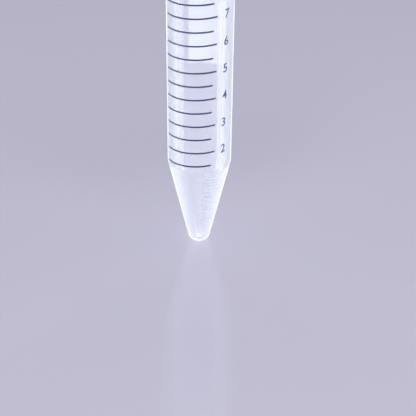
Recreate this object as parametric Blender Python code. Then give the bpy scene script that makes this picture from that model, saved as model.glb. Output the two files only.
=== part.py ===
"""Graduated ten-millilitre tube with a conical tip, a threaded neck and a ribbed screw cap.

The tube stands on its tip at the origin with its axis along +Z. Lengths are in metres. Azimuths
are counted round the axis from the front of the printed scale, which faces -Y, towards +X.
The pieces are the moulded tube, the ink of its scale, the white writing panel on its back, the
soft sealing disc and the cap. The cap turns on the thread and rises by one pitch a turn.
"""

from math import atan, cos, pi, radians, sin, sqrt, tan

import bmesh
import bpy
from mathutils import Vector

MM = 0.001
ML = 1e-6

# Cone and barrel of the tube
SHOULDER_RADIUS = 7.75 * MM     # outside, where the cone meets the barrel
SHOULDER_HEIGHT = 22.3 * MM     # from the tip
SHOULDER_BLEND = 3.0 * MM       # eases the cone into the barrel
CONE_FOOT_RADIUS = 2.33 * MM    # the cone's outside, carried on down to the level of the tip
TIP_LAND_RADIUS = 0.85 * MM     # the small flat under the tip
BARREL_DRAFT = 0.008            # outward lean of the barrel's outside
BORE_DRAFT = 0.0035             # outward lean of the bore
WALL = 1.07 * MM                # at the shoulder and along the cone
TIP_WALL = 1.3 * MM             # floor under the cavity
CAVITY_FLOOR_RADIUS = 0.5 * MM  # flat at the bottom of the cavity

# Collar and neck
HEADROOM = 4.4 * MM             # from the top bar of the scale to the collar
COLLAR_REACH = 1.1 * MM         # how far the collar stands out from the barrel
COLLAR_THICKNESS = 1.6 * MM
NECK_WALL = 1.25 * MM
PLAIN_BELOW_THREAD = 3.2 * MM   # from the collar to the middle of the first thread
PLAIN_ABOVE_THREAD = 3.3 * MM   # from the middle of the last thread to the rim
RIM_ROUND = 0.35 * MM
THREAD_PITCH = 3.0 * MM
THREAD_DEPTH = 0.6 * MM
THREAD_FOOT = 1.3 * MM          # width of the ridge where it leaves the wall
THREAD_CREST = 0.5 * MM
THREAD_ROOTING = 0.3 * MM       # how deep the ridge is set into its wall
NECK_THREAD_TURNS = 1.5
CAP_THREAD_TURNS = 1.25

# Moulded ridges down the cone
RIDGE_STEP = 0.1 * ML
RIDGE_COUNT = 13
RIDGE_LEFT = radians(6.0)
RIDGE_RIGHT = radians(50.0)
RIDGE_HEIGHT = 0.12 * MM
RIDGE_WIDTH = 0.5 * MM

# Printed scale
FIRST_MARK = 1.5 * ML
MARK_STEP = 0.5 * ML
CAPACITY = 10.0 * ML
INK_GAP = 0.05 * MM             # clearance between the print and the tube
INK_THICKNESS = 0.06 * MM
LINE_WIDTH = 0.4 * MM
PRINT_RISE = 0.063              # the bars climb this much per length as they run to the right
BAR_LEAN = 0.009                # the bars drift this much to the right per height
NUMERAL_LEAN = 0.018            # and the numerals this much
MARK_LEFT = -9.85 * MM          # measured round the wall from the front
HALF_MARK_RIGHT = 2.77 * MM
WHOLE_MARK_RIGHT = 3.65 * MM
NUMERAL_LEFT = 5.45 * MM
NUMERAL_HEIGHT = 2.25 * MM
NUMERAL_WIDTH = 1.42 * MM
NUMERAL_SPACE = 0.35 * MM
ONE_WIDTH = 0.6 * NUMERAL_WIDTH  # a printed 1 is narrower than the other numerals
NUMERAL_SLICE = 0.55 * MM       # widest flat facet of a numeral, so that it follows the wall
FIRST_NUMERAL = 2

# Writing panel on the back
PANEL_LEFT = radians(112.0)
PANEL_RIGHT = radians(203.0)
PANEL_BOTTOM_LEVEL = 4.5 * ML
PANEL_TOP_LEVEL = 9.4 * ML
PANEL_CORNER = 0.8 * MM
PANEL_RISE = -0.02              # seen from behind, its edges fall this much per length rightwards

# Sealing disc and cap
FIT = 0.3 * MM                  # running clearance between the loose pieces
SKIRT_GAP = 0.5 * MM            # between the collar and the cap's skirt
DISC_THICKNESS = 1.0 * MM
CAP_WALL = 0.95 * MM
CAP_TOP = 1.4 * MM
CAP_ROUND = 0.9 * MM
RIB_COUNT = 36
RIB_HEIGHT = 0.35 * MM
RIB_MARGIN = 1.4 * MM           # plain band under the ribs
CAP_ROUND_STEPS = 3

# Fineness
SEGMENTS = 64
POINTS_PER_RIB = 4
ARC_STEP = radians(8.0)
THREAD_STEPS_PER_TURN = 40
THREAD_FADE = radians(40.0)
CORNER_STEPS = (0.0, 0.3, 0.65)  # where each rounded corner of the panel is sampled

CONE_LEAN = atan((SHOULDER_RADIUS - CONE_FOOT_RADIUS) / SHOULDER_HEIGHT)


def clear_scene():
    """Remove every object that is in the file."""
    for thing in list(bpy.data.objects):
        bpy.data.objects.remove(thing)


# ---------------------------------------------------------------- outlines


def arc(centre_r, centre_z, radius, start, end, steps):
    """Points of an arc in the outline plane, angles counted from +r towards +z."""
    turns = [start + (end - start) * i / steps for i in range(steps + 1)]
    return [(centre_r + radius * cos(a), centre_z + radius * sin(a)) for a in turns]


def barrel_radius(z):
    """Outside radius of the barrel at a height above the shoulder."""
    return SHOULDER_RADIUS + BARREL_DRAFT * (z - SHOULDER_HEIGHT)


def cone_radius(z):
    """Outside radius of the cone at a height."""
    return CONE_FOOT_RADIUS + tan(CONE_LEAN) * z


def bore_radius(z):
    """Inside radius of the barrel at a height above the shoulder."""
    return SHOULDER_RADIUS - WALL + BORE_DRAFT * (z - SHOULDER_HEIGHT)


def wall_radius(z):
    """Outside radius of the tube below its collar, on the cone or on the barrel."""
    return min(cone_radius(z), barrel_radius(z))


def cone_cavity_radius(z):
    """Inside radius of the cone, one wall in from its outside."""
    return cone_radius(z) - WALL / cos(CONE_LEAN)


def tip_round():
    """Radius that joins the flat of the tip to the cone."""
    return (CONE_FOOT_RADIUS - TIP_LAND_RADIUS) / (1 / cos(CONE_LEAN) - tan(CONE_LEAN))


def cavity_round():
    """Radius that joins the floor of the cavity to its conical side."""
    side = cone_cavity_radius(TIP_WALL)
    return (side - CAVITY_FLOOR_RADIUS) / (1 / cos(CONE_LEAN) - tan(CONE_LEAN))


def cavity_shoulder():
    """Height at which the conical cavity reaches the bore."""
    rise = bore_radius(SHOULDER_HEIGHT) - cone_cavity_radius(SHOULDER_HEIGHT)
    return SHOULDER_HEIGHT + rise / (tan(CONE_LEAN) - BORE_DRAFT)


def cavity_outline(top):
    """Outline of the cavity from its floor on the axis up to a height in the bore."""
    r = cavity_round()
    low = arc(CAVITY_FLOOR_RADIUS, TIP_WALL + r, r, -pi / 2, -CONE_LEAN, 4)
    knee = cavity_shoulder()
    return [(0.0, TIP_WALL)] + low + [(bore_radius(knee), knee), (bore_radius(top), top)]


def shoulder_outline():
    """Short arc that eases the cone's outside into the barrel's."""
    bend = CONE_LEAN - atan(BARREL_DRAFT)
    reach = SHOULDER_BLEND * tan(bend / 2)
    centre_r = SHOULDER_RADIUS - reach * sin(CONE_LEAN) - SHOULDER_BLEND * cos(CONE_LEAN)
    centre_z = SHOULDER_HEIGHT - reach * cos(CONE_LEAN) + SHOULDER_BLEND * sin(CONE_LEAN)
    return arc(centre_r, centre_z, SHOULDER_BLEND, -CONE_LEAN, -CONE_LEAN + bend, 3)


def volume_to(height):
    """Volume that the cavity holds up to a height, ring by ring of its outline."""
    total = 0.0
    outline = cavity_outline(max(height, cavity_shoulder() + WALL))
    for (r0, z0), (r1, z1) in zip(outline, outline[1:]):
        top = min(z1, height)
        if top <= z0:
            continue
        cut = r0 + (r1 - r0) * (top - z0) / (z1 - z0)
        total += pi / 3 * (top - z0) * (r0 * r0 + r0 * cut + cut * cut)
    return total


def level_of(volume):
    """Height of the liquid's surface for a volume, found by halving."""
    low, high = TIP_WALL, TIP_WALL + volume / (pi * TIP_LAND_RADIUS ** 2)
    for _ in range(60):
        middle = (low + high) / 2
        if volume_to(middle) < volume:
            low = middle
        else:
            high = middle
    return (low + high) / 2


COLLAR_UNDERSIDE = level_of(CAPACITY) + HEADROOM
COLLAR_TOP = COLLAR_UNDERSIDE + COLLAR_THICKNESS
COLLAR_RADIUS = barrel_radius(COLLAR_UNDERSIDE) + COLLAR_REACH
THREAD_START = COLLAR_TOP + PLAIN_BELOW_THREAD
RIM = THREAD_START + NECK_THREAD_TURNS * THREAD_PITCH + PLAIN_ABOVE_THREAD
NECK_RADIUS = bore_radius(RIM) + NECK_WALL
CAP_BORE = NECK_RADIUS + THREAD_DEPTH + FIT
SKIRT = COLLAR_TOP + SKIRT_GAP
DISC_UNDERSIDE = RIM + FIT
CAP_CEILING = DISC_UNDERSIDE + DISC_THICKNESS + FIT
CAP_SUMMIT = CAP_CEILING + CAP_TOP


def tube_outline():
    """The whole section of the tube: up the outside, over the rim and down the cavity."""
    r = tip_round()
    tip = arc(TIP_LAND_RADIUS, r, r, -pi / 2, -CONE_LEAN, 7)
    edge = COLLAR_THICKNESS / 5
    collar = [
        (barrel_radius(COLLAR_UNDERSIDE), COLLAR_UNDERSIDE),
        (COLLAR_RADIUS - edge, COLLAR_UNDERSIDE),
        (COLLAR_RADIUS, COLLAR_UNDERSIDE + edge),
        (COLLAR_RADIUS, COLLAR_TOP - edge),
        (COLLAR_RADIUS - edge, COLLAR_TOP),
        (NECK_RADIUS, COLLAR_TOP),
    ]
    rim = [
        (NECK_RADIUS, RIM - RIM_ROUND),
        (NECK_RADIUS - RIM_ROUND, RIM),
        (bore_radius(RIM) + RIM_ROUND, RIM),
    ]
    inside = cavity_outline(RIM - RIM_ROUND)
    return [(0.0, 0.0)] + tip + shoulder_outline() + collar + rim + inside[::-1]


# ---------------------------------------------------------------- solids


def point_at(azimuth, radius, z):
    """Point on a cylinder round the axis; azimuth 0 faces -Y and grows towards +X."""
    return Vector((radius * sin(azimuth), -radius * cos(azimuth), z))


def finish(name, colour, roughness, alpha=1.0):
    """Principled material for one kind of piece."""
    material = bpy.data.materials.new(name)
    material.use_nodes = True
    shader = material.node_tree.nodes["Principled BSDF"]
    shader.inputs["Base Color"].default_value = (*colour, 1.0)
    shader.inputs["Roughness"].default_value = roughness
    shader.inputs["Metallic"].default_value = 0.0
    shader.inputs["Alpha"].default_value = alpha
    material.diffuse_color = (*colour, alpha)
    return material


def add_object(name, bm, material, smooth_below=radians(35.0)):
    """Turn a bmesh into a named object with smooth faces and sharp real edges."""
    mesh = bpy.data.meshes.new(name)
    bmesh.ops.recalc_face_normals(bm, faces=bm.faces)
    bm.to_mesh(mesh)
    bm.free()
    mesh.shade_smooth()
    mesh.set_sharp_from_angle(angle=smooth_below)
    mesh.materials.append(material)
    thing = bpy.data.objects.new(name, mesh)
    bpy.context.scene.collection.objects.link(thing)
    return thing


def turned(outline, segments=SEGMENTS):
    """Solid of revolution from an outline that starts and ends on the axis."""
    bm = bmesh.new()
    corners = [bm.verts.new((r, 0.0, z)) for r, z in outline]
    edges = [bm.edges.new(pair) for pair in zip(corners, corners[1:])]
    bmesh.ops.spin(
        bm, geom=corners + edges, cent=(0, 0, 0), axis=(0, 0, 1), angle=2 * pi,
        steps=segments, use_merge=True,
    )
    bmesh.ops.remove_doubles(bm, verts=bm.verts, dist=MM / 1000)
    return bm


def skinned(bm, sections):
    """Closed solid through a row of matching closed sections, capped at both ends."""
    loops = [[bm.verts.new(p) for p in section] for section in sections]
    for near, far in zip(loops, loops[1:]):
        for i in range(len(near)):
            j = (i + 1) % len(near)
            bm.faces.new((near[i], near[j], far[j], far[i]))
    bm.faces.new(loops[0][::-1])
    bm.faces.new(loops[-1])


def arc_steps(left, right):
    """Azimuths from left to right, close enough to follow the round wall."""
    count = max(2, round((right - left) / ARC_STEP))
    return [left + (right - left) * i / count for i in range(count + 1)]


def helical_ridge(radius, start, turns, inwards):
    """Thread ridge rooted in a cylindrical wall, fading in and out at its two ends."""
    side = -1 if inwards else 1
    steps = round(THREAD_STEPS_PER_TURN * turns)
    total = 2 * pi * turns
    flank_slope = (THREAD_FOOT - THREAD_CREST) / (2 * THREAD_DEPTH)
    root = radius - side * THREAD_ROOTING
    root_half = THREAD_FOOT / 2 + THREAD_ROOTING * flank_slope
    sections = []
    for i in range(steps + 1):
        turn = total * i / steps
        fade = min(1.0, 0.25 + min(turn, total - turn) / THREAD_FADE)
        z = start + THREAD_PITCH * turn / (2 * pi)
        crest = radius + side * THREAD_DEPTH * fade
        profile = [
            (root, root_half),
            (crest, THREAD_CREST / 2),
            (crest, -THREAD_CREST / 2),
            (root, -root_half),
        ]
        sections.append([point_at(turn, r, z + dz) for r, dz in profile])
    bm = bmesh.new()
    skinned(bm, sections)
    return bm


def join_to(body, name, bm, material):
    """Fuse an added shape to a body by a Boolean union and hide the loose shape."""
    added = add_object(name, bm, material)
    added.hide_render = True
    added.display_type = "WIRE"
    added.parent = body
    union = body.modifiers.new(name, "BOOLEAN")
    union.operation = "UNION"
    union.object = added
    return added


# ---------------------------------------------------------------- the tube


def cone_ridges():
    """Short raised ridges down the cone, one for every tenth of a millilitre."""
    bm = bmesh.new()
    first = FIRST_MARK - 2 * RIDGE_STEP
    for i in range(RIDGE_COUNT):
        z = level_of(first - i * RIDGE_STEP)
        sections = []
        for azimuth in arc_steps(RIDGE_LEFT, RIDGE_RIGHT):
            profile = [
                (-WALL / 3, RIDGE_WIDTH / 2),
                (RIDGE_HEIGHT / 4, RIDGE_WIDTH / 2),
                (RIDGE_HEIGHT, RIDGE_WIDTH / 6),
                (RIDGE_HEIGHT, -RIDGE_WIDTH / 6),
                (RIDGE_HEIGHT / 4, -RIDGE_WIDTH / 2),
                (-WALL / 3, -RIDGE_WIDTH / 2),
            ]
            sections.append(
                [point_at(azimuth, wall_radius(z + dz) + out, z + dz) for out, dz in profile]
            )
        skinned(bm, sections)
    return bm


def build_tube(material):
    """The moulded tube with its neck thread and the ridges of its cone."""
    body = add_object("tube_body", turned(tube_outline()), material)
    thread = helical_ridge(NECK_RADIUS, THREAD_START, NECK_THREAD_TURNS, inwards=False)
    join_to(body, "neck_thread", thread, material)
    join_to(body, "cone_ridges", cone_ridges(), material)
    return body


# ---------------------------------------------------------------- the print


def on_print(arc_length, height, out, lean):
    """Point of the print: a length round the wall and a height, lifted off the wall."""
    azimuth = (arc_length + lean * (height - SHOULDER_HEIGHT)) / SHOULDER_RADIUS
    z = height + PRINT_RISE * arc_length
    return point_at(azimuth, wall_radius(z) + INK_GAP + out, z)


def build_mark(volume, material, parent):
    """One bar of the scale; whole millilitres get the longer bar."""
    tenths = round(volume / (0.1 * ML))
    whole = tenths % 10 == 0
    right = WHOLE_MARK_RIGHT if whole else HALF_MARK_RIGHT
    height = level_of(volume)
    half = LINE_WIDTH / 2
    edge = [(0, half), (INK_THICKNESS, half), (INK_THICKNESS, -half), (0, -half)]
    sections = []
    for azimuth in arc_steps(MARK_LEFT / SHOULDER_RADIUS, right / SHOULDER_RADIUS):
        along = azimuth * SHOULDER_RADIUS
        sections.append([on_print(along, height + dz, out, BAR_LEAN) for out, dz in edge])
    bm = bmesh.new()
    skinned(bm, sections)
    mark = add_object(f"mark_{tenths // 10}_{tenths % 10}", bm, material)
    mark.parent = parent


def digit_outline(character):
    """Flat mesh of one character, from its lower left corner, at the numeral's size."""
    text = bpy.data.curves.new("digit", "FONT")
    text.body = character
    text.resolution_u = 3
    holder = bpy.data.objects.new("digit", text)
    bpy.context.scene.collection.objects.link(holder)
    bpy.context.view_layer.update()
    flat = bpy.data.meshes.new_from_object(holder)
    bpy.data.objects.remove(holder)
    bpy.data.curves.remove(text)
    bm = bmesh.new()
    bm.from_mesh(flat)
    bpy.data.meshes.remove(flat)
    bmesh.ops.remove_doubles(bm, verts=bm.verts, dist=1e-4)
    low_x, low_y = min(v.co.x for v in bm.verts), min(v.co.y for v in bm.verts)
    scale = NUMERAL_HEIGHT / (max(v.co.y for v in bm.verts) - low_y)
    for v in bm.verts:
        v.co = Vector(((v.co.x - low_x) * scale, (v.co.y - low_y) * scale, 0.0))
    return bm


def digit_width(character):
    """Width of a character at the numeral's height, before it is narrowed."""
    bm = digit_outline(character)
    width = max(v.co.x for v in bm.verts)
    bm.free()
    return width


def build_digit(name, character, volume, left, material, parent):
    """One printed character that follows the wall, centred on the height of its bar."""
    bm = digit_outline(character)
    width = max(v.co.x for v in bm.verts)
    squeeze = NUMERAL_WIDTH / digit_width("0")
    cut = NUMERAL_SLICE / squeeze
    while cut < width:
        bmesh.ops.bisect_plane(
            bm, geom=bm.verts[:] + bm.edges[:] + bm.faces[:],
            plane_co=(cut, 0, 0), plane_no=(1, 0, 0),
        )
        cut += NUMERAL_SLICE / squeeze
    bmesh.ops.recalc_face_normals(bm, faces=bm.faces)
    front = bmesh.ops.extrude_face_region(bm, geom=bm.faces[:], use_keep_orig=True)["geom"]
    raised = {item for item in front if isinstance(item, bmesh.types.BMVert)}
    height = level_of(volume)
    for v in bm.verts:
        out = INK_THICKNESS if v in raised else 0.0
        up = height + v.co.y - NUMERAL_HEIGHT / 2
        v.co = on_print(left + v.co.x * squeeze, up, out, NUMERAL_LEAN)
    digit = add_object(name, bm, material)
    digit.parent = parent


def build_scale(material, parent):
    """All bars and numerals of the scale."""
    count = round((CAPACITY - FIRST_MARK) / MARK_STEP) + 1
    for i in range(count):
        build_mark(FIRST_MARK + i * MARK_STEP, material, parent)
    top = round(CAPACITY / ML)
    for number in range(FIRST_NUMERAL, top):
        build_digit(
            f"numeral_{number}", str(number), number * ML, NUMERAL_LEFT, material, parent
        )
    tens_left = NUMERAL_LEFT
    ones_left = NUMERAL_LEFT + ONE_WIDTH + NUMERAL_SPACE
    build_digit(f"numeral_{top}_one", "1", CAPACITY, tens_left, material, parent)
    build_digit(f"numeral_{top}_zero", "0", CAPACITY, ones_left, material, parent)


def build_panel(material, parent):
    """White writing panel wrapped round the back, with slightly rounded corners."""
    bottom, top = level_of(PANEL_BOTTOM_LEVEL), level_of(PANEL_TOP_LEVEL)
    corner = PANEL_CORNER / SHOULDER_RADIUS
    turns = arc_steps(PANEL_LEFT + corner, PANEL_RIGHT - corner)
    near = [PANEL_LEFT + corner * share for share in CORNER_STEPS]
    far = [PANEL_RIGHT - corner * share for share in reversed(CORNER_STEPS)]
    sections = []
    for azimuth in near + turns + far:
        along = min(azimuth - PANEL_LEFT, PANEL_RIGHT - azimuth) / corner
        short = max(0.0, 1.0 - along)
        inset = PANEL_CORNER * (1 - sqrt(1 - short * short))
        slope = PANEL_RISE * SHOULDER_RADIUS * (azimuth - PANEL_LEFT)
        low, high = bottom + inset + slope, top - inset + slope
        edge = [(0, high), (INK_THICKNESS, high), (INK_THICKNESS, low), (0, low)]
        sections.append(
            [point_at(azimuth, barrel_radius(z) + INK_GAP + out, z) for out, z in edge]
        )
    bm = bmesh.new()
    skinned(bm, sections)
    panel = add_object("writing_panel", bm, material)
    panel.parent = parent


# ---------------------------------------------------------------- disc and cap


def build_disc(material, tube):
    """Soft disc between the rim and the cap's ceiling; it rises with the cap."""
    radius = CAP_BORE - FIT
    edge = DISC_THICKNESS / 5
    outline = [
        (0.0, 0.0), (radius - edge, 0.0), (radius, edge),
        (radius, DISC_THICKNESS - edge), (radius - edge, DISC_THICKNESS), (0.0, DISC_THICKNESS),
    ]
    disc = add_object("sealing_disc", turned(outline), material)
    disc.location = (0.0, 0.0, DISC_UNDERSIDE)
    disc.parent = tube
    return disc


def rib_reach(index):
    """How far the ribbed outside stands out at one of its points round the cap."""
    return RIB_HEIGHT if index % POINTS_PER_RIB in (1, 2) else 0.0


def cap_shell():
    """Ribbed cup with its mouth down: outside rings, lid, then the plain inside."""
    count = RIB_COUNT * POINTS_PER_RIB
    wall = CAP_BORE + CAP_WALL
    summit = CAP_SUMMIT - SKIRT
    ceiling = CAP_CEILING - SKIRT
    mouth = CAP_WALL / 4
    levels = [(CAP_BORE + mouth, 0.0, 0.0), (wall - mouth, 0.0, 0.0), (wall, mouth, 0.0)]
    levels += [(wall, RIB_MARGIN, 0.0), (wall, RIB_MARGIN + RIB_HEIGHT, 1.0)]
    crown = arc(wall - CAP_ROUND, summit - CAP_ROUND, CAP_ROUND, 0.0, pi / 2, CAP_ROUND_STEPS)
    levels += [(r, z, 1.0 - i / CAP_ROUND_STEPS) for i, (r, z) in enumerate(crown)]
    bm = bmesh.new()

    def ring(radius, z, reach):
        return [
            bm.verts.new(point_at(2 * pi * (i + 0.5) / count, radius + reach * rib_reach(i), z))
            for i in range(count)
        ]

    inside = [(CAP_BORE, ceiling, 0.0), (CAP_BORE, mouth, 0.0)]
    rings = [ring(*level) for level in inside + levels]
    for near, far in zip(rings, rings[1:]):
        for i in range(count):
            j = (i + 1) % count
            bm.faces.new((near[i], near[j], far[j], far[i]))
    bm.faces.new(rings[0])
    bm.faces.new(rings[-1])
    return bm


def build_cap(material, disc):
    """Screw cap with its inner thread half a pitch under the neck's."""
    cap = add_object("screw_cap", cap_shell(), material)
    start = THREAD_START - THREAD_PITCH / 2 - SKIRT
    thread = helical_ridge(CAP_BORE, start, CAP_THREAD_TURNS, inwards=True)
    join_to(cap, "cap_thread", thread, material)
    cap.location = (0.0, 0.0, SKIRT - DISC_UNDERSIDE)
    cap.parent = disc
    return cap


def main():
    """Build every piece of the closed tube."""
    clear_scene()
    tube_plastic = finish("tube_plastic", (0.86, 0.89, 0.95), 0.25, alpha=0.45)
    ink = finish("scale_ink", (0.06, 0.08, 0.18), 0.5)
    panel_paint = finish("panel_paint", (0.93, 0.93, 0.94), 0.6)
    disc_foam = finish("disc_foam", (0.9, 0.9, 0.88), 0.7)
    cap_plastic = finish("cap_plastic", (0.05, 0.16, 0.5), 0.35)
    tube = build_tube(tube_plastic)
    build_scale(ink, tube)
    build_panel(panel_paint, tube)
    disc = build_disc(disc_foam, tube)
    build_cap(cap_plastic, disc)


main()
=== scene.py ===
"""Looks of a graduated conical tube with a screw cap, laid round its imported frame.

The clear moulding, the ink of the scale, the white writing panel, the sealing disc and the ribbed
cap are made here as fine meshes. Each rides on the body of the frame that moves it. Lengths are
in metres; azimuths are counted round the axis from the front of the scale, which faces -Y,
towards +X.
"""

import logging
from dataclasses import dataclass, field
from enum import Enum
from math import atan, atan2, cos, exp, pi, radians, sin, sqrt, tan
from typing import Any, Callable, Iterable, Sequence, Union

import bmesh
import bpy
from mathutils import Euler, Matrix, Vector


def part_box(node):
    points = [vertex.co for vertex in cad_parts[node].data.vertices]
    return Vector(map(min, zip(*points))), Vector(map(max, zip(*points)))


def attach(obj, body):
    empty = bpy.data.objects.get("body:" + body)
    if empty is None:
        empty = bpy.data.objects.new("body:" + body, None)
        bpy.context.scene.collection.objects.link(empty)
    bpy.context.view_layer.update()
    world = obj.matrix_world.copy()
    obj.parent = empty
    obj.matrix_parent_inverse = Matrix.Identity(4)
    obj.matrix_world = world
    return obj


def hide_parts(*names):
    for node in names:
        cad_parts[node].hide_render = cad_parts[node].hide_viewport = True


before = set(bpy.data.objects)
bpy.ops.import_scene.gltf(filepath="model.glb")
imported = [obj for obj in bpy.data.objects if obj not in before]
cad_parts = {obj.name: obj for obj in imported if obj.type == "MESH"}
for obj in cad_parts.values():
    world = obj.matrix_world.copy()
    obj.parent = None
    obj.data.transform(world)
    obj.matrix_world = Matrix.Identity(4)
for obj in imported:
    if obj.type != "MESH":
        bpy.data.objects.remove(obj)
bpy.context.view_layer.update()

LOG = logging.getLogger("tube_looks")
MM = 0.001
FULL_TURN = 2 * pi

Colour = tuple[float, float, float]
Outline = list[tuple[float, float]]
Number = Union[float, "Signal"]


class Body(Enum):
    """The bodies of the frame."""

    TUBE = "tube"
    DISC = "disc"
    CAP = "cap"


class Slot(Enum):
    """The material slots of the record."""

    TUBE = "tube_plastic"
    INK = "scale_ink"
    PANEL = "panel_paint"
    DISC = "disc_foam"
    CAP = "cap_plastic"


# ------------------------------------------------------------------ shader writing


class Signal:
    """One number in a shader, which Python's operators turn into Math nodes."""

    def __init__(self, graph: "Graph", socket: bpy.types.NodeSocket) -> None:
        """Wrap a socket of a graph."""
        self.graph = graph
        self.socket = socket

    def _math(self, operation: str, first: Number, second: Number) -> "Signal":
        """Add one Math node.

        Args:
            operation: name of the node's operation.
            first: its upper input.
            second: its lower input.

        Returns:
            The node's result.
        """
        made = self.graph.node("ShaderNodeMath", {"operation": operation}, {0: first, 1: second})
        return Signal(self.graph, made.outputs[0])

    def __add__(self, other: Number) -> "Signal":
        """Sum."""
        return self._math("ADD", self, other)

    __radd__ = __add__

    def __sub__(self, other: Number) -> "Signal":
        """Difference."""
        return self._math("SUBTRACT", self, other)

    def __rsub__(self, other: Number) -> "Signal":
        """Difference with the number in front."""
        return self._math("SUBTRACT", other, self)

    def __mul__(self, other: Number) -> "Signal":
        """Product."""
        return self._math("MULTIPLY", self, other)

    __rmul__ = __mul__

    def __pow__(self, other: Number) -> "Signal":
        """Power."""
        return self._math("POWER", self, other)

    def within(self, low: float, high: float) -> "Signal":
        """Keep the number between two limits."""
        return self._math("MAXIMUM", self._math("MINIMUM", self, high), low)


class Graph:
    """The node tree of one material."""

    def __init__(self, name: str) -> None:
        """Start an empty material of that name."""
        self.material = bpy.data.materials.new(name)
        self.material.use_nodes = True
        self.tree = self.material.node_tree
        self.tree.nodes.clear()

    def node(self, kind: str, settings: dict[str, Any], inputs: dict[Any, Any]) -> bpy.types.Node:
        """Add a node.

        Args:
            kind: the node's type.
            settings: its own properties, set first.
            inputs: values or links of its sockets, by name or number.

        Returns:
            The new node.
        """
        made = self.tree.nodes.new(kind)
        for key, value in settings.items():
            setattr(made, key, value)
        for key, value in inputs.items():
            socket = made.inputs[key]
            if isinstance(value, Signal):
                self.tree.links.new(value.socket, socket)
            elif isinstance(value, bpy.types.NodeSocket):
                self.tree.links.new(value, socket)
            elif isinstance(value, tuple) and len(value) == 3 and socket.type == "RGBA":
                socket.default_value = (*value, 1.0)
            else:
                socket.default_value = value
        return made

    def place(self, stretch: Colour = (1.0, 1.0, 1.0)) -> bpy.types.NodeSocket:
        """Object coordinates, stretched by a factor along each axis."""
        where = self.node("ShaderNodeTexCoord", {}, {}).outputs["Object"]
        mapping = self.node("ShaderNodeMapping", {}, {"Vector": where, "Scale": stretch})
        return mapping.outputs[0]

    def noise(self, scale: float, detail: float = 3.0, stretch: Colour = (1.0, 1.0, 1.0)) -> Signal:
        """Cloudy noise around one half.

        Args:
            scale: lumps per metre.
            detail: octaves of finer lumps.
            stretch: factor on each axis; under one draws the lumps out.

        Returns:
            The noise as a number.
        """
        made = self.node(
            "ShaderNodeTexNoise", {},
            {"Vector": self.place(stretch), "Scale": scale, "Detail": detail, "Roughness": 0.55},
        )
        return Signal(self, made.outputs[0])

    def blend(self, share: Signal, low: Colour, high: Colour) -> bpy.types.NodeSocket:
        """Colour between two, by a number; sockets go by number, since their names repeat."""
        made = self.node("ShaderNodeMix", {"data_type": "RGBA"}, {0: share, 6: low, 7: high})
        return made.outputs[2]

    def bump(self, height: Signal, depth: float, strength: float = 1.0) -> bpy.types.NodeSocket:
        """Normal from a height, with its depth in metres."""
        made = self.node(
            "ShaderNodeBump", {}, {"Height": height, "Distance": depth, "Strength": strength}
        )
        return made.outputs[0]

    def principled(self, **inputs: Any) -> bpy.types.NodeSocket:
        """Principled shader; underscores in the names stand for spaces."""
        named = {key.replace("_", " "): value for key, value in inputs.items()}
        return self.node("ShaderNodeBsdfPrincipled", {}, named).outputs[0]

    def mix(self, share: Number, first: Any, second: Any) -> bpy.types.NodeSocket:
        """Mix of two shaders."""
        return self.node("ShaderNodeMixShader", {}, {0: share, 1: first, 2: second}).outputs[0]

    def finish(self, surface: bpy.types.NodeSocket) -> bpy.types.Material:
        """Link the surface to the output and hand over the material."""
        self.node("ShaderNodeOutputMaterial", {}, {"Surface": surface})
        return self.material


# ------------------------------------------------------------------ finishes


@dataclass(frozen=True)
class ClearPlastic:
    """Milky polypropylene: clear through the wall, whiter where the eye runs along it."""

    name: str = "milky_polypropylene"
    tint: Colour = (0.95, 0.955, 0.985)
    milk: Colour = (0.81, 0.845, 0.90)
    haze: float = 0.17
    edge_haze: float = 0.52
    tip_haze: float = 0.10
    tip_height: float = 1.5 * MM
    edge_start: float = 0.24
    edge_rise: float = 3.4
    gloss: float = 0.09
    flow_scale: float = 260.0
    ripple: float = 0.000018

    def material(self) -> bpy.types.Material:
        """Build the material.

        Returns:
            Clear and milky shaders mixed by the slant of the wall and by faint flow clouds.
        """
        graph = Graph(self.name)
        clouds = graph.noise(self.flow_scale, 4.0, (1.0, 1.0, 0.25))
        fine = graph.noise(self.flow_scale * 9, 2.0)
        normal = graph.bump(clouds * 0.8 + fine * 0.06, self.ripple)
        slant = Signal(graph, graph.node("ShaderNodeLayerWeight", {}, {"Blend": 0.5}).outputs[1])
        clear = graph.principled(
            Base_Color=self.tint, Roughness=self.gloss + clouds * 0.08, IOR=1.49,
            Transmission_Weight=1.0, Normal=normal,
        )
        body = graph.principled(
            Base_Color=self.milk, Roughness=0.30, IOR=1.49, Normal=normal,
            Sheen_Weight=0.35, Sheen_Roughness=0.3,
        )
        through = graph.node("ShaderNodeBsdfTranslucent", {}, {"Color": self.milk}).outputs[0]
        milky = graph.mix(0.5, body, through)
        edge = ((slant - self.edge_start) * self.edge_rise).within(0.0, 1.0)
        parts = graph.node("ShaderNodeSeparateXYZ", {}, {0: graph.place()})
        height = Signal(graph, parts.outputs[2])
        thick = (1.0 - height * (1 / self.tip_height)).within(0.0, 1.0)
        share = self.haze + self.edge_haze * edge + self.tip_haze * thick + clouds * 0.06
        solid = graph.mix(share.within(0.0, 0.9), clear, milky)
        lamp = Signal(graph, graph.node("ShaderNodeLightPath", {}, {}).outputs["Is Shadow Ray"])
        open_way = graph.node("ShaderNodeBsdfTransparent", {}, {"Color": (0.97, 0.97, 0.975)})
        return graph.finish(graph.mix(lamp, solid, open_way.outputs[0]))


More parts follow.
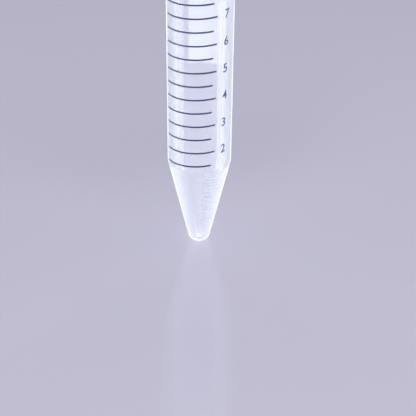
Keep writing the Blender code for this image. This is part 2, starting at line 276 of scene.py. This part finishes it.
@dataclass(frozen=True)
class PadInk:
    """Dark blue pad-printed ink with slightly uneven cover."""

    name: str = "pad_ink"
    deep: Colour = (0.020, 0.033, 0.12)
    worn: Colour = (0.065, 0.090, 0.26)
    grain: float = 2600.0

    def material(self) -> bpy.types.Material:
        """Build the material."""
        graph = Graph(self.name)
        cover = graph.noise(self.grain, 3.0)
        colour = graph.blend((cover - 0.35).within(0.0, 1.0) * 1.6, self.deep, self.worn)
        surface = graph.principled(
            Base_Color=colour, Roughness=0.38 + cover * 0.25,
            Normal=graph.bump(cover, 0.000004),
        )
        return graph.finish(surface)


@dataclass(frozen=True)
class PanelPaint:
    """Matt white print with a tooth that takes a pencil."""

    name: str = "panel_paint"
    light: Colour = (0.98, 0.98, 0.97)
    dusk: Colour = (0.95, 0.95, 0.95)
    tooth: float = 5200.0

    def material(self) -> bpy.types.Material:
        """Build the material."""
        graph = Graph(self.name)
        tooth = graph.noise(self.tooth, 4.0)
        patches = graph.noise(420.0, 3.0)
        colour = graph.blend((patches - 0.4).within(0.0, 1.0) * 1.5, self.light, self.dusk)
        body = graph.principled(
            Base_Color=colour, Roughness=0.62 + tooth * 0.25, Normal=graph.bump(tooth, 0.000006)
        )
        through = graph.node("ShaderNodeBsdfTranslucent", {}, {"Color": self.light}).outputs[0]
        return graph.finish(graph.mix(0.06, body, through))


@dataclass(frozen=True)
class SoftDisc:
    """Soft white elastomer with fine pores."""

    name: str = "disc_elastomer"
    light: Colour = (0.84, 0.84, 0.81)
    dusk: Colour = (0.72, 0.72, 0.69)
    pores: float = 3000.0

    def material(self) -> bpy.types.Material:
        """Build the material."""
        graph = Graph(self.name)
        pores = graph.noise(self.pores, 5.0)
        colour = graph.blend((pores - 0.3).within(0.0, 1.0) * 1.3, self.dusk, self.light)
        surface = graph.principled(
            Base_Color=colour, Roughness=0.6 + pores * 0.3, Normal=graph.bump(pores, 0.00002),
            Subsurface_Weight=0.15, Subsurface_Scale=0.001,
        )
        return graph.finish(surface)


@dataclass(frozen=True)
class CapPlastic:
    """Blue moulded polyethylene with a satin skin."""

    name: str = "cap_polyethylene"
    colour: Colour = (0.018, 0.085, 0.42)
    pale: Colour = (0.045, 0.15, 0.55)
    grain: float = 2200.0

    def material(self) -> bpy.types.Material:
        """Build the material."""
        graph = Graph(self.name)
        clouds = graph.noise(170.0, 3.0)
        grain = graph.noise(self.grain, 4.0)
        colour = graph.blend((clouds - 0.35).within(0.0, 1.0) * 1.4, self.colour, self.pale)
        surface = graph.principled(
            Base_Color=colour, Roughness=0.30 + grain * 0.16, IOR=1.5,
            Normal=graph.bump(grain, 0.00001), Subsurface_Weight=0.08, Subsurface_Scale=0.0008,
        )
        return graph.finish(surface)


@dataclass(frozen=True)
class PaleFloor:
    """Plain pale board with a satin lacquer."""

    name: str = "pale_floor"
    colour: Colour = (0.37, 0.36, 0.43)
    gloss: float = 0.14
    lacquer: float = 1.5

    def material(self) -> bpy.types.Material:
        """Build the material."""
        graph = Graph(self.name)
        surface = graph.principled(
            Base_Color=self.colour, Roughness=self.gloss, IOR=self.lacquer
        )
        return graph.finish(surface)


# ------------------------------------------------------------------ modelling helpers


def polar(azimuth: float, radius: float, z: float) -> Vector:
    """Point round the axis; azimuth 0 faces -Y and grows towards +X."""
    return Vector((radius * sin(azimuth), -radius * cos(azimuth), z))


def azimuth_of(point: Vector) -> float:
    """Azimuth of a point, from 0 to a full turn."""
    return atan2(point.x, -point.y) % FULL_TURN


def arc(
    centre: tuple[float, float], radius: float, start: float, end: float, steps: int
) -> Outline:
    """Points of an arc in the outline plane.

    Args:
        centre: radius and height of its centre.
        radius: its own radius.
        start: first angle, counted from outwards towards up.
        end: last angle.
        steps: number of chords.

    Returns:
        Radius and height of each point.
    """
    turns = [start + (end - start) * i / steps for i in range(steps + 1)]
    return [(centre[0] + radius * cos(a), centre[1] + radius * sin(a)) for a in turns]


def run(start: tuple[float, float], end: tuple[float, float], step: float) -> Outline:
    """Evenly spaced points from one outline point towards another, without the last."""
    length = sqrt((end[0] - start[0]) ** 2 + (end[1] - start[1]) ** 2)
    count = max(1, round(length / step))
    return [
        (start[0] + (end[0] - start[0]) * i / count, start[1] + (end[1] - start[1]) * i / count)
        for i in range(count)
    ]


def turned(outline: Outline, segments: int) -> bmesh.types.BMesh:
    """Spin an outline that starts and ends on the axis into a closed solid.

    Args:
        outline: radius and height of each point.
        segments: chords round the axis.

    Returns:
        The closed mesh, facing out.
    """
    bm = bmesh.new()
    corners = [bm.verts.new((0.0, -r, z)) for r, z in outline]
    edges = [bm.edges.new(pair) for pair in zip(corners, corners[1:])]
    bmesh.ops.spin(
        bm, geom=corners + edges, cent=(0, 0, 0), axis=(0, 0, 1), dvec=(0, 0, 0),
        angle=FULL_TURN, steps=segments, use_merge=True,
    )
    bmesh.ops.remove_doubles(bm, verts=bm.verts, dist=MM / 5000)
    bmesh.ops.recalc_face_normals(bm, faces=bm.faces)
    return bm


def displaced(bm: bmesh.types.BMesh, lift: Callable[[float, float, float], float]) -> None:
    """Move every point of a mesh in or out from the axis.

    Args:
        bm: the mesh to change.
        lift: radial move for an azimuth, a radius and a height.
    """
    for vert in bm.verts:
        radius = sqrt(vert.co.x ** 2 + vert.co.y ** 2)
        if radius < MM / 10:
            continue
        grown = radius + lift(azimuth_of(vert.co), radius, vert.co.z)
        vert.co.x *= grown / radius
        vert.co.y *= grown / radius


def smooth_step(value: float) -> float:
    """Ease from 0 to 1 over the same range."""
    value = min(1.0, max(0.0, value))
    return value * value * (3 - 2 * value)


def made_piece(
    name: str, bm: bmesh.types.BMesh, finish: bpy.types.Material, body: Body,
    nodes: Sequence[str], sharp: float = radians(50.0),
) -> bpy.types.Object:
    """Turn a mesh into a finished piece that rides on a body and stands for CAD nodes.

    Args:
        name: the piece's name.
        bm: its mesh, which is freed.
        finish: its material.
        body: the body it rides on.
        nodes: the CAD nodes it replaces.
        sharp: angle over which an edge stays sharp.

    Returns:
        The new object.
    """
    mesh = bpy.data.meshes.new(name)
    bm.to_mesh(mesh)
    bm.free()
    mesh.shade_smooth()
    mesh.set_sharp_from_angle(angle=sharp)
    mesh.materials.append(finish)
    piece = bpy.data.objects.new(name, mesh)
    bpy.context.scene.collection.objects.link(piece)
    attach(piece, body.value)
    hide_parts(*nodes)
    LOG.info("%s: %d faces on %s", name, len(mesh.polygons), body.value)
    return piece


# ------------------------------------------------------------------ threads


@dataclass(frozen=True)
class Thread:
    """Right-handed ridge on a round wall, one start."""

    pitch: float = 3.0 * MM
    depth: float = 0.6 * MM
    foot: float = 1.3 * MM
    crest: float = 0.5 * MM
    fade: float = radians(40.0)

    def height(self, azimuth: float, z: float, start: float, turns: float) -> float:
        """Height of the ridge over its wall at one place.

        Args:
            azimuth: where round the wall.
            z: how high.
            start: height of the ridge's middle where it begins, at azimuth 0.
            turns: its length in turns.

        Returns:
            The height, 0 beside the ridge.
        """
        lap = round(((z - start) / self.pitch) - azimuth / FULL_TURN)
        turn = azimuth + FULL_TURN * lap
        if turn < 0 or turn > FULL_TURN * turns:
            return 0.0
        off = abs(z - start - self.pitch * turn / FULL_TURN)
        flank = (self.foot / 2 - off) / ((self.foot - self.crest) / 2)
        ends = min(turn, FULL_TURN * turns - turn) / self.fade
        return self.depth * smooth_step(flank) * smooth_step(0.2 + ends)


# ------------------------------------------------------------------ the tube


@dataclass
class TubeMoulding:
    """The moulded tube: rounded tip, cone, drafted barrel, collar and threaded neck."""

    finish: bpy.types.Material
    shoulder_radius: float = 7.75 * MM
    shoulder_height: float = 22.3 * MM
    shoulder_blend: float = 3.0 * MM
    foot_radius: float = 2.33 * MM
    tip_land: float = 0.85 * MM
    barrel_draft: float = 0.008
    bore_draft: float = 0.0035
    wall: float = 1.07 * MM
    tip_wall: float = 1.3 * MM
    cavity_floor: float = 0.5 * MM
    collar_reach: float = 1.1 * MM
    collar_thickness: float = 1.6 * MM
    plain_below_thread: float = 3.2 * MM
    plain_above_thread: float = 3.3 * MM
    neck_wall: float = 1.25 * MM
    neck_turns: float = 1.5
    rim_round: float = 0.35 * MM
    ridge_left: float = radians(6.0)
    ridge_right: float = radians(50.0)
    ridge_height: float = 0.05 * MM
    ridge_width: float = 0.55 * MM
    ridge_step: float = 0.1
    ridge_count: int = 13
    first_mark: float = 1.5
    segments: int = 180
    thread: Thread = field(default_factory=Thread)

    def __post_init__(self) -> None:
        """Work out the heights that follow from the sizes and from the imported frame."""
        rise = self.shoulder_radius - self.foot_radius
        self.lean = atan(rise / self.shoulder_height)
        self.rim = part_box("tube_body")[1].z
        self.thread_start = self.rim - self.plain_above_thread - self.neck_turns * self.thread.pitch
        self.collar_top = self.thread_start - self.plain_below_thread
        self.collar_base = self.collar_top - self.collar_thickness
        self.neck_radius = self.bore_radius(self.rim) + self.neck_wall

    def barrel_radius(self, z: float) -> float:
        """Outside radius of the barrel."""
        return self.shoulder_radius + self.barrel_draft * (z - self.shoulder_height)

    def bore_radius(self, z: float) -> float:
        """Inside radius of the barrel."""
        return self.shoulder_radius - self.wall + self.bore_draft * (z - self.shoulder_height)

    def cone_radius(self, z: float) -> float:
        """Outside radius of the cone."""
        return self.foot_radius + tan(self.lean) * z

    def cavity_radius(self, z: float) -> float:
        """Inside radius of the cone."""
        return self.cone_radius(z) - self.wall / cos(self.lean)

    def cavity_outline(self, top: float, steps: int = 12) -> Outline:
        """Inside of the tube from its floor on the axis up to a height.

        Args:
            top: the height where it ends.
            steps: chords of the rounded floor.

        Returns:
            Radius and height of each point.
        """
        spread = 1 / cos(self.lean) - tan(self.lean)
        rounding = (self.cavity_radius(self.tip_wall) - self.cavity_floor) / spread
        centre = (self.cavity_floor, self.tip_wall + rounding)
        low = arc(centre, rounding, -pi / 2, -self.lean, steps)
        gap = self.bore_radius(self.shoulder_height) - self.cavity_radius(self.shoulder_height)
        knee = self.shoulder_height + gap / (tan(self.lean) - self.bore_draft)
        return [(0.0, self.tip_wall)] + low + [
            (self.bore_radius(knee), knee), (self.bore_radius(top), top)
        ]

    def volume_to(self, height: float) -> float:
        """Millilitres that the cavity holds up to a height."""
        total = 0.0
        outline = self.cavity_outline(max(height, self.shoulder_height * 1.1), 4)
        for (r0, z0), (r1, z1) in zip(outline, outline[1:]):
            top = min(z1, height)
            if top > z0:
                cut = r0 + (r1 - r0) * (top - z0) / (z1 - z0)
                total += pi / 3 * (top - z0) * (r0 * r0 + r0 * cut + cut * cut)
        return total * 1e6

    def level_of(self, millilitres: float) -> float:
        """Height of the surface for a volume, found by halving."""
        low, high = self.tip_wall, self.rim
        for _ in range(40):
            middle = (low + high) / 2
            if self.volume_to(middle) < millilitres:
                low = middle
            else:
                high = middle
        return (low + high) / 2

    def outline(self) -> Outline:
        """Whole section of the tube, up the outside and down the inside."""
        spread = 1 / cos(self.lean) - tan(self.lean)
        rounding = (self.foot_radius - self.tip_land) / spread
        tip = arc((self.tip_land, rounding), rounding, -pi / 2, -self.lean, 16)
        bend = self.lean - atan(self.barrel_draft)
        reach = self.shoulder_blend * tan(bend / 2)
        centre = (
            self.shoulder_radius - reach * sin(self.lean) - self.shoulder_blend * cos(self.lean),
            self.shoulder_height - reach * cos(self.lean) + self.shoulder_blend * sin(self.lean),
        )
        shoulder = arc(centre, self.shoulder_blend, -self.lean, bend - self.lean, 8)
        cone = run(tip[-1], shoulder[0], 0.11 * MM)
        base = (self.barrel_radius(self.collar_base), self.collar_base)
        barrel = run(shoulder[-1], base, 4.0 * MM)
        outer = self.barrel_radius(self.collar_base) + self.collar_reach
        edge = self.collar_thickness / 5
        collar = [base, (outer - edge, self.collar_base)]
        collar += arc((outer - edge, self.collar_base + edge), edge, -pi / 2, 0, 4)[1:]
        collar += arc((outer - edge, self.collar_top - edge), edge, 0, pi / 2, 4)
        neck_foot = (self.neck_radius, self.collar_top)
        neck_top = (self.neck_radius, self.rim - self.rim_round)
        neck = run(neck_foot, neck_top, 0.13 * MM)
        mouth = self.bore_radius(self.rim) + self.rim_round
        lip = arc((self.neck_radius - self.rim_round, self.rim - self.rim_round),
                  self.rim_round, 0, pi / 2, 5)
        lip += arc((mouth, self.rim - self.rim_round), self.rim_round, pi / 2, pi, 5)
        inside = self.cavity_outline(self.rim - self.rim_round)[::-1]
        bore = run(inside[0], inside[1], 4.0 * MM) + inside[1:]
        below = [(0.0, 0.0)] + tip[:-1] + cone + shoulder[:-1] + barrel
        return below + collar + neck + lip + bore[1:]

    def lift(self, azimuth: float, radius: float, z: float) -> float:
        """Radial height of the moulded ridges and of the thread over the plain outline."""
        if radius < self.cone_radius(z) - self.wall / 2 and z < self.shoulder_height:
            return 0.0
        if z < self.shoulder_height:
            return self.ridge_lift(azimuth, z)
        if z > self.collar_top and abs(radius - self.neck_radius) < MM / 100:
            return self.thread.height(azimuth, z, self.thread_start, self.neck_turns)
        return 0.0

    def ridge_lift(self, azimuth: float, z: float) -> float:
        """Height of the short ridges that mark tenths of a millilitre down the cone."""
        nearest = min(abs(z - level) for level in self.ridge_levels)
        bead = smooth_step(1 - nearest / (self.ridge_width / 2))
        margin = radians(3.0)
        ends = min(azimuth - self.ridge_left, self.ridge_right - azimuth) / margin
        return self.ridge_height * bead * smooth_step(ends + 0.5)

    def build(self) -> bpy.types.Object:
        """Make the piece."""
        first = self.first_mark - 2 * self.ridge_step
        self.ridge_levels = [
            self.level_of(first - i * self.ridge_step) for i in range(self.ridge_count)
        ]
        bm = turned(self.outline(), self.segments)
        displaced(bm, self.lift)
        return made_piece(
            "tube_moulding", bm, self.finish, Body.TUBE, ["tube_body"]
        )


# ------------------------------------------------------------------ the print


@dataclass
class PrintedScale:
    """Bars and numerals of the scale, printed on the barrel a little askew."""

    tube: TubeMoulding
    finish: bpy.types.Material
    gap: float = 0.008 * MM
    thickness: float = 0.02 * MM
    line_width: float = 0.4 * MM
    rise: float = 0.063
    bar_lean: float = 0.009
    numeral_lean: float = 0.018
    left: float = -9.85 * MM
    half_right: float = 2.77 * MM
    whole_right: float = 3.65 * MM
    numeral_left: float = 5.45 * MM
    numeral_height: float = 2.25 * MM
    numeral_width: float = 1.42 * MM
    one_share: float = 0.6
    numeral_space: float = 0.35 * MM
    boldness: float = 0.012
    facet: float = radians(1.5)

    def lay(self, along: float, height: float, out: float, lean: float) -> Vector:
        """Point of the print on the wall.

        Args:
            along: length round the wall from the front.
            height: height of its row at the front.
            out: how far it stands off the ink's underside.
            lean: drift of its column to the right per height.

        Returns:
            The point in the frame.
        """
        drift = lean * (height - self.tube.shoulder_height)
        azimuth = (along + drift) / self.tube.shoulder_radius
        z = height + self.rise * along
        return polar(azimuth, self.tube.barrel_radius(z) + self.gap + out, z)

    def bar(self, tenths: int) -> bpy.types.Object:
        """Print one bar.

        Args:
            tenths: its volume in tenths of a millilitre.

        Returns:
            The piece.
        """
        right = self.whole_right if tenths % 10 == 0 else self.half_right
        half = self.line_width / 2
        count = round((right - self.left) / (self.facet * self.tube.shoulder_radius))
        bm = bmesh.new()
        bmesh.ops.create_grid(bm, x_segments=count, y_segments=2, size=0.5)
        length = right - self.left
        self.wrap(bm, lambda v: (self.left + (v.co.x + 0.5) * length, v.co.y * 2 * half),
                  self.tube.level_of(tenths / 10), self.bar_lean)
        name = f"{tenths // 10}_{tenths % 10}"
        return made_piece(
            f"ink_bar_{name}", bm, self.finish, Body.TUBE, [f"mark_{name}"]
        )

    def wrap(
        self, bm: bmesh.types.BMesh, where: Callable[[bmesh.types.BMVert], tuple[float, float]],
        height: float, lean: float,
    ) -> None:
        """Give a flat shape its thickness and lay it on the wall.

        Args:
            bm: the flat shape, facing up.
            where: length round the wall and height over the row, for a point.
            height: height of the row.
            lean: drift of its column to the right per height.
        """
        bmesh.ops.recalc_face_normals(bm, faces=bm.faces)
        if bm.faces[:][0].normal.z < 0:
            bmesh.ops.reverse_faces(bm, faces=bm.faces)
        grown = bmesh.ops.extrude_face_region(bm, geom=bm.faces[:], use_keep_orig=True)["geom"]
        raised = {item for item in grown if isinstance(item, bmesh.types.BMVert)}
        for vert in bm.verts:
            along, up = where(vert)
            vert.co = self.lay(along, height + up, self.thickness if vert in raised else 0.0, lean)
        bmesh.ops.recalc_face_normals(bm, faces=bm.faces)

    def flat_digit(self, character: str) -> bmesh.types.BMesh:
        """Flat shape of a character, its lower left corner at the origin, at full height."""
        text = bpy.data.curves.new("digit", "FONT")
        text.body = character
        text.resolution_u = 8
        text.offset = self.boldness
        holder = bpy.data.objects.new("digit", text)
        bpy.context.scene.collection.objects.link(holder)
        bpy.context.view_layer.update()
        flat = bpy.data.meshes.new_from_object(holder)
        bpy.data.objects.remove(holder)
        bpy.data.curves.remove(text)
        bm = bmesh.new()
        bm.from_mesh(flat)
        bpy.data.meshes.remove(flat)
        bmesh.ops.remove_doubles(bm, verts=bm.verts, dist=1e-4)
        left = min(v.co.x for v in bm.verts)
        low = min(v.co.y for v in bm.verts)
        scale = self.numeral_height / (max(v.co.y for v in bm.verts) - low)
        for vert in bm.verts:
            vert.co = Vector(((vert.co.x - left) * scale, (vert.co.y - low) * scale, 0.0))
        return bm

    def numeral(self, character: str, millilitres: int, left: float, node: str) -> bpy.types.Object:
        """Print one character beside its bar.

        Args:
            character: the digit.
            millilitres: the volume whose bar it stands beside.
            left: length round the wall to its left side.
            node: the CAD node it stands for.

        Returns:
            The piece.
        """
        measure = self.flat_digit("0")
        squeeze = self.numeral_width / max(v.co.x for v in measure.verts)
        measure.free()
        bm = self.flat_digit(character)
        width = max(v.co.x for v in bm.verts)
        cut = 0.2 * MM
        while cut < width:
            bmesh.ops.bisect_plane(
                bm, geom=bm.verts[:] + bm.edges[:] + bm.faces[:],
                plane_co=(cut, 0, 0), plane_no=(1, 0, 0),
            )
            cut += 0.2 * MM
        self.wrap(
            bm, lambda v: (left + v.co.x * squeeze, v.co.y - self.numeral_height / 2),
            self.tube.level_of(millilitres), self.numeral_lean,
        )
        return made_piece(f"ink_{node}", bm, self.finish, Body.TUBE, [node])

    def build(self) -> list[bpy.types.Object]:
        """Print the whole scale."""
        pieces = [self.bar(tenths) for tenths in range(15, 101, 5)]
        for number in range(2, 10):
            pieces.append(
                self.numeral(str(number), number, self.numeral_left, f"numeral_{number}")
            )
        one_width = self.numeral_width * self.one_share
        second = self.numeral_left + one_width + self.numeral_space
        pieces.append(self.numeral("1", 10, self.numeral_left, "numeral_10_one"))
        pieces.append(self.numeral("0", 10, second, "numeral_10_zero"))
        return pieces


@dataclass
class WritingPanel:
    """White panel printed on the back of the barrel."""

    tube: TubeMoulding
    finish: bpy.types.Material
    left: float = radians(112.0)
    right: float = radians(203.0)
    bottom_level: float = 4.5
    top_level: float = 9.4
    corner: float = 0.8 * MM
    rise: float = -0.02
    gap: float = 0.008 * MM
    thickness: float = 0.02 * MM

    def build(self) -> bpy.types.Object:
        """Lay a flat rounded sheet round the wall."""
        low = self.tube.level_of(self.bottom_level)
        high = self.tube.level_of(self.top_level)
        width = (self.right - self.left) * self.tube.shoulder_radius
        bm = bmesh.new()
        bmesh.ops.create_grid(bm, x_segments=60, y_segments=24, size=0.5)
        for vert in bm.verts:
            vert.co = Vector(((vert.co.x + 0.5) * width, (vert.co.y + 0.5) * (high - low), 0.0))
        for vert in bm.verts:
            near = max(0.0, min(vert.co.x, width - vert.co.x))
            if near < self.corner:
                inset = self.corner - sqrt(self.corner ** 2 - (self.corner - near) ** 2)
                share = vert.co.y / (high - low)
                vert.co.y += inset * (1 - 2 * share)
        grown = bmesh.ops.extrude_face_region(bm, geom=bm.faces[:], use_keep_orig=True)["geom"]
        raised = {item for item in grown if isinstance(item, bmesh.types.BMVert)}
        for vert in bm.verts:
            azimuth = self.left + vert.co.x / self.tube.shoulder_radius
            z = low + vert.co.y + self.rise * vert.co.x
            out = self.gap + (self.thickness if vert in raised else 0.0)
            vert.co = polar(azimuth, self.tube.barrel_radius(z) + out, z)
        bmesh.ops.recalc_face_normals(bm, faces=bm.faces)
        return made_piece(
            "white_panel", bm, self.finish, Body.TUBE, ["writing_panel"]
        )


# ------------------------------------------------------------------ disc and cap


@dataclass
class SealingDisc:
    """Soft disc that the cap presses on the rim."""

    finish: bpy.types.Material
    edge: float = 0.25 * MM
    dent: float = 0.06 * MM
    dent_inset: float = 1.2 * MM
    dent_width: float = 0.6 * MM
    segments: int = 144

    def build(self) -> bpy.types.Object:
        """Turn a pillow-edged disc with a faint ring pressed in by the rim."""
        low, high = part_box("sealing_disc")
        radius = high.x
        under = run((0.0, low.z), (radius - self.edge, low.z), 0.25 * MM)
        side = arc((radius - self.edge, low.z + self.edge), self.edge, -pi / 2, 0, 6)
        side += arc((radius - self.edge, high.z - self.edge), self.edge, 0, pi / 2, 6)
        over = run(side[-1], (0.0, high.z), 0.5 * MM)[1:] + [(0.0, high.z)]
        bm = turned(under + side + over, self.segments)
        middle = radius - self.dent_inset
        for vert in bm.verts:
            away = (sqrt(vert.co.x ** 2 + vert.co.y ** 2) - middle) / self.dent_width
            if vert.co.z < low.z + self.edge / 4:
                vert.co.z += self.dent * exp(-away * away)
        return made_piece(
            "seal", bm, self.finish, Body.DISC, ["sealing_disc"]
        )


@dataclass
class RibbedCap:
    """Screw cap with a ribbed side, an eased crown and a thread inside."""

    tube: TubeMoulding
    finish: bpy.types.Material
    ribs: int = 36
    rib_height: float = 0.35 * MM
    rib_margin: float = 1.4 * MM
    wall: float = 0.95 * MM
    top: float = 1.4 * MM
    crown: float = 0.9 * MM
    fit: float = 0.3 * MM
    turns: float = 1.25
    dish: float = 0.25 * MM
    points_per_rib: int = 12

    def build(self) -> bpy.types.Object:
        """Turn the plain cup, then raise its ribs and its thread."""
        low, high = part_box("screw_cap")
        self.base, self.summit = low.z, high.z
        self.bore = self.tube.neck_radius + self.tube.thread.depth + self.fit
        self.outside = self.bore + self.wall
        ceiling = self.summit - self.top
        rim = self.wall / 4
        dish_radius = self.outside - 2.0 * MM
        outline = [(0.0, self.summit - self.dish)]
        outline += [(0.6 * MM, self.summit - self.dish), (dish_radius, self.summit - self.dish)]
        outline += arc((dish_radius + self.dish, self.summit - self.dish), self.dish,
                       pi, pi / 2, 5)[1:]
        outline += arc((self.outside - self.crown, self.summit - self.crown), self.crown,
                       pi / 2, 0, 10)
        shoulder = self.base + self.rib_margin
        outline += run(outline[-1], (self.outside, shoulder + self.rib_height * 2), 1.0 * MM)[1:]
        outline += run((self.outside, shoulder + self.rib_height * 2), (self.outside, shoulder),
                       0.1 * MM)
        outline += [(self.outside, shoulder)]
        outline += arc((self.outside - rim, self.base + rim), rim, 0, -pi / 2, 4)
        outline += arc((self.bore + rim, self.base + rim), rim, -pi / 2, -pi, 4)
        outline += run((self.bore, self.base + rim), (self.bore, ceiling), 0.16 * MM)[1:]
        outline += [(self.bore, ceiling), (0.0, ceiling)]
        bm = turned(outline, self.ribs * self.points_per_rib)
        displaced(bm, self.lift)
        return made_piece(
            "ribbed_cap", bm, self.finish, Body.CAP, ["screw_cap"], radians(60.0)
        )

    def lift(self, azimuth: float, radius: float, z: float) -> float:
        """Radial height of the ribs outside and of the thread inside."""
        if abs(radius - self.bore) < MM / 100:
            start = self.tube.thread_start - self.tube.thread.pitch / 2
            return -self.tube.thread.height(azimuth, z, start, self.turns)
        if radius < self.outside - self.crown * 1.01 or z < self.base + self.rib_margin - MM / 100:
            return 0.0
        wave = 0.5 + 0.5 * cos(azimuth * self.ribs)
        fade_low = smooth_step((z - self.base - self.rib_margin) / (self.rib_height * 2))
        fade_high = smooth_step((self.summit - z) / self.crown)
        return self.rib_height * smooth_step(wave * 1.3) * fade_low * fade_high


# ------------------------------------------------------------------ the studio


@dataclass(frozen=True)
class SoftLight:
    """Rectangular soft light that faces the tube from a direction."""

    name: str
    azimuth: float
    elevation: float
    width: float
    height: float
    glow: float
    away: float = 0.6
    lies_flat: bool = False

    def hang(self, target: Vector) -> bpy.types.Object:
        """Hang the light.

        Args:
            target: the point it faces. Its width and height are angles seen from there, and its
                glow is the brightness of its face.

        Returns:
            The light.
        """
        flat = self.away * cos(radians(self.elevation))
        rise = self.away * sin(radians(self.elevation))
        place = target + polar(radians(self.azimuth), flat, rise)
        light = bpy.data.lights.new(self.name, "AREA")
        light.shape = "RECTANGLE"
        light.size = 2 * self.away * tan(radians(self.width) / 2)
        light.size_y = 2 * self.away * tan(radians(self.height) / 2)
        light.energy = self.glow * pi * light.size * light.size_y
        holder = bpy.data.objects.new(self.name, light)
        bpy.context.scene.collection.objects.link(holder)
        holder.location = place
        facing = Vector((0.0, 0.0, 1.0)) if self.lies_flat else target - place
        holder.rotation_euler = facing.to_track_quat("-Z", "Y").to_euler()
        return holder


SOFT_BOXES = (
    SoftLight("front_key", 12.0, 56.0, 50.0, 30.0, 5.9),
    SoftLight("back_top", 184.0, 57.0, 50.0, 20.0, 2.6),
    SoftLight("left_side", -92.0, 28.0, 50.0, 34.0, 1.5),
    SoftLight("right_side", 96.0, 28.0, 46.0, 34.0, 1.3),
)

SHINE_CARDS = (
    SoftLight("left_card", -72.0, 0.0, 38.0, 120.0, 2.4, 0.040),
    SoftLight("right_card", 73.0, 0.0, 30.0, 120.0, 2.8, 0.040),
    SoftLight("left_rim", -152.0, 0.0, 30.0, 120.0, 1.6, 0.040),
    SoftLight("right_rim", 152.0, 0.0, 30.0, 120.0, 1.6, 0.040),
    SoftLight("floor_card", 180.0, -72.0, 66.0, 42.0, 1.8, 0.04725, lies_flat=True),
)


@dataclass
class Studio:
    """Pale floor, soft lights and the camera."""

    pieces: list[bpy.types.Object]
    distance: float = 385.4 * MM
    height: float = 218.4 * MM
    pitch: float = 0.4986
    roll: float = 0.0058
    lens: float = 152.5
    aside: float = 0.0214
    floor_size: float = 3.0
    aim: float = 45.0 * MM
    floor_finish: PaleFloor = field(default_factory=PaleFloor)
    sky: tuple[tuple[float, Colour], ...] = (
        (0.0, (0.40, 0.39, 0.48)),
        (0.37, (0.42, 0.41, 0.50)),
        (0.60, (0.45, 0.44, 0.50)),
        (1.0, (0.45, 0.44, 0.50)),
    )

    def floor(self) -> None:
        """Lay the floor just under the tip."""
        bm = bmesh.new()
        bmesh.ops.create_grid(bm, x_segments=1, y_segments=1, size=self.floor_size)
        mesh = bpy.data.meshes.new("floor")
        bm.to_mesh(mesh)
        bm.free()
        mesh.materials.append(self.floor_finish.material())
        floor = bpy.data.objects.new("floor", mesh)
        bpy.context.scene.collection.objects.link(floor)
        floor.location.z = -0.00002

    def glow(self) -> None:
        """Even glow round the tube, graded by height above the horizon."""
        world = bpy.data.worlds.new("studio")
        bpy.context.scene.world = world
        world.use_nodes = True
        tree = world.node_tree
        where = tree.nodes.new("ShaderNodeTexCoord")
        parts = tree.nodes.new("ShaderNodeSeparateXYZ")
        ramp = tree.nodes.new("ShaderNodeValToRGB")
        ramp.color_ramp.interpolation = "EASE"
        stops = ramp.color_ramp.elements
        stops[0].position, stops[0].color = self.sky[0][0], (*self.sky[0][1], 1.0)
        stops[1].position, stops[1].color = self.sky[-1][0], (*self.sky[-1][1], 1.0)
        for position, colour in self.sky[1:-1]:
            stops.new(position).color = (*colour, 1.0)
        tree.links.new(where.outputs["Generated"], parts.inputs[0])
        tree.links.new(parts.outputs["Z"], ramp.inputs[0])
        tree.links.new(ramp.outputs[0], tree.nodes["Background"].inputs["Color"])

    def camera(self) -> None:
        """Look down at the tube from the front."""
        lens = bpy.data.cameras.new("view")
        lens.lens = self.lens
        lens.sensor_width = 36.0
        lens.shift_x = self.aside
        lens.clip_start = 0.01
        holder = bpy.data.objects.new("view", lens)
        bpy.context.scene.collection.objects.link(holder)
        holder.location = (0.0, -self.distance, self.height)
        tilt = Euler((pi / 2 - self.pitch, 0.0, 0.0)).to_matrix()
        holder.rotation_euler = (tilt @ Matrix.Rotation(self.roll, 3, "Z")).to_euler()
        bpy.context.scene.camera = holder

    def build(self) -> None:
        """Set up the whole studio."""
        self.floor()
        self.glow()
        target = Vector((0.0, 0.0, self.aim))
        for box in SOFT_BOXES:
            box.hang(target)
        shown = bpy.data.collections.new("shown_pieces")
        for piece in self.pieces:
            shown.objects.link(piece)
        for card in SHINE_CARDS:
            holder = card.hang(target)
            holder.visible_camera = False
            holder.visible_diffuse = False
            holder.visible_transmission = False
            holder.light_linking.receiver_collection = shown
        self.camera()
        bpy.context.scene.view_settings.view_transform = "Standard"


def main() -> None:
    """Build every piece in order, then the studio round them."""
    logging.basicConfig(level=logging.INFO, format="%(name)s: %(message)s")
    tube = TubeMoulding(ClearPlastic().material())
    pieces = [tube.build()]
    pieces += PrintedScale(tube, PadInk().material()).build()
    pieces.append(WritingPanel(tube, PanelPaint().material()).build())
    pieces.append(SealingDisc(SoftDisc().material()).build())
    pieces.append(RibbedCap(tube, CapPlastic().material()).build())
    Studio(pieces).build()


if __name__ == "__main__":
    main()
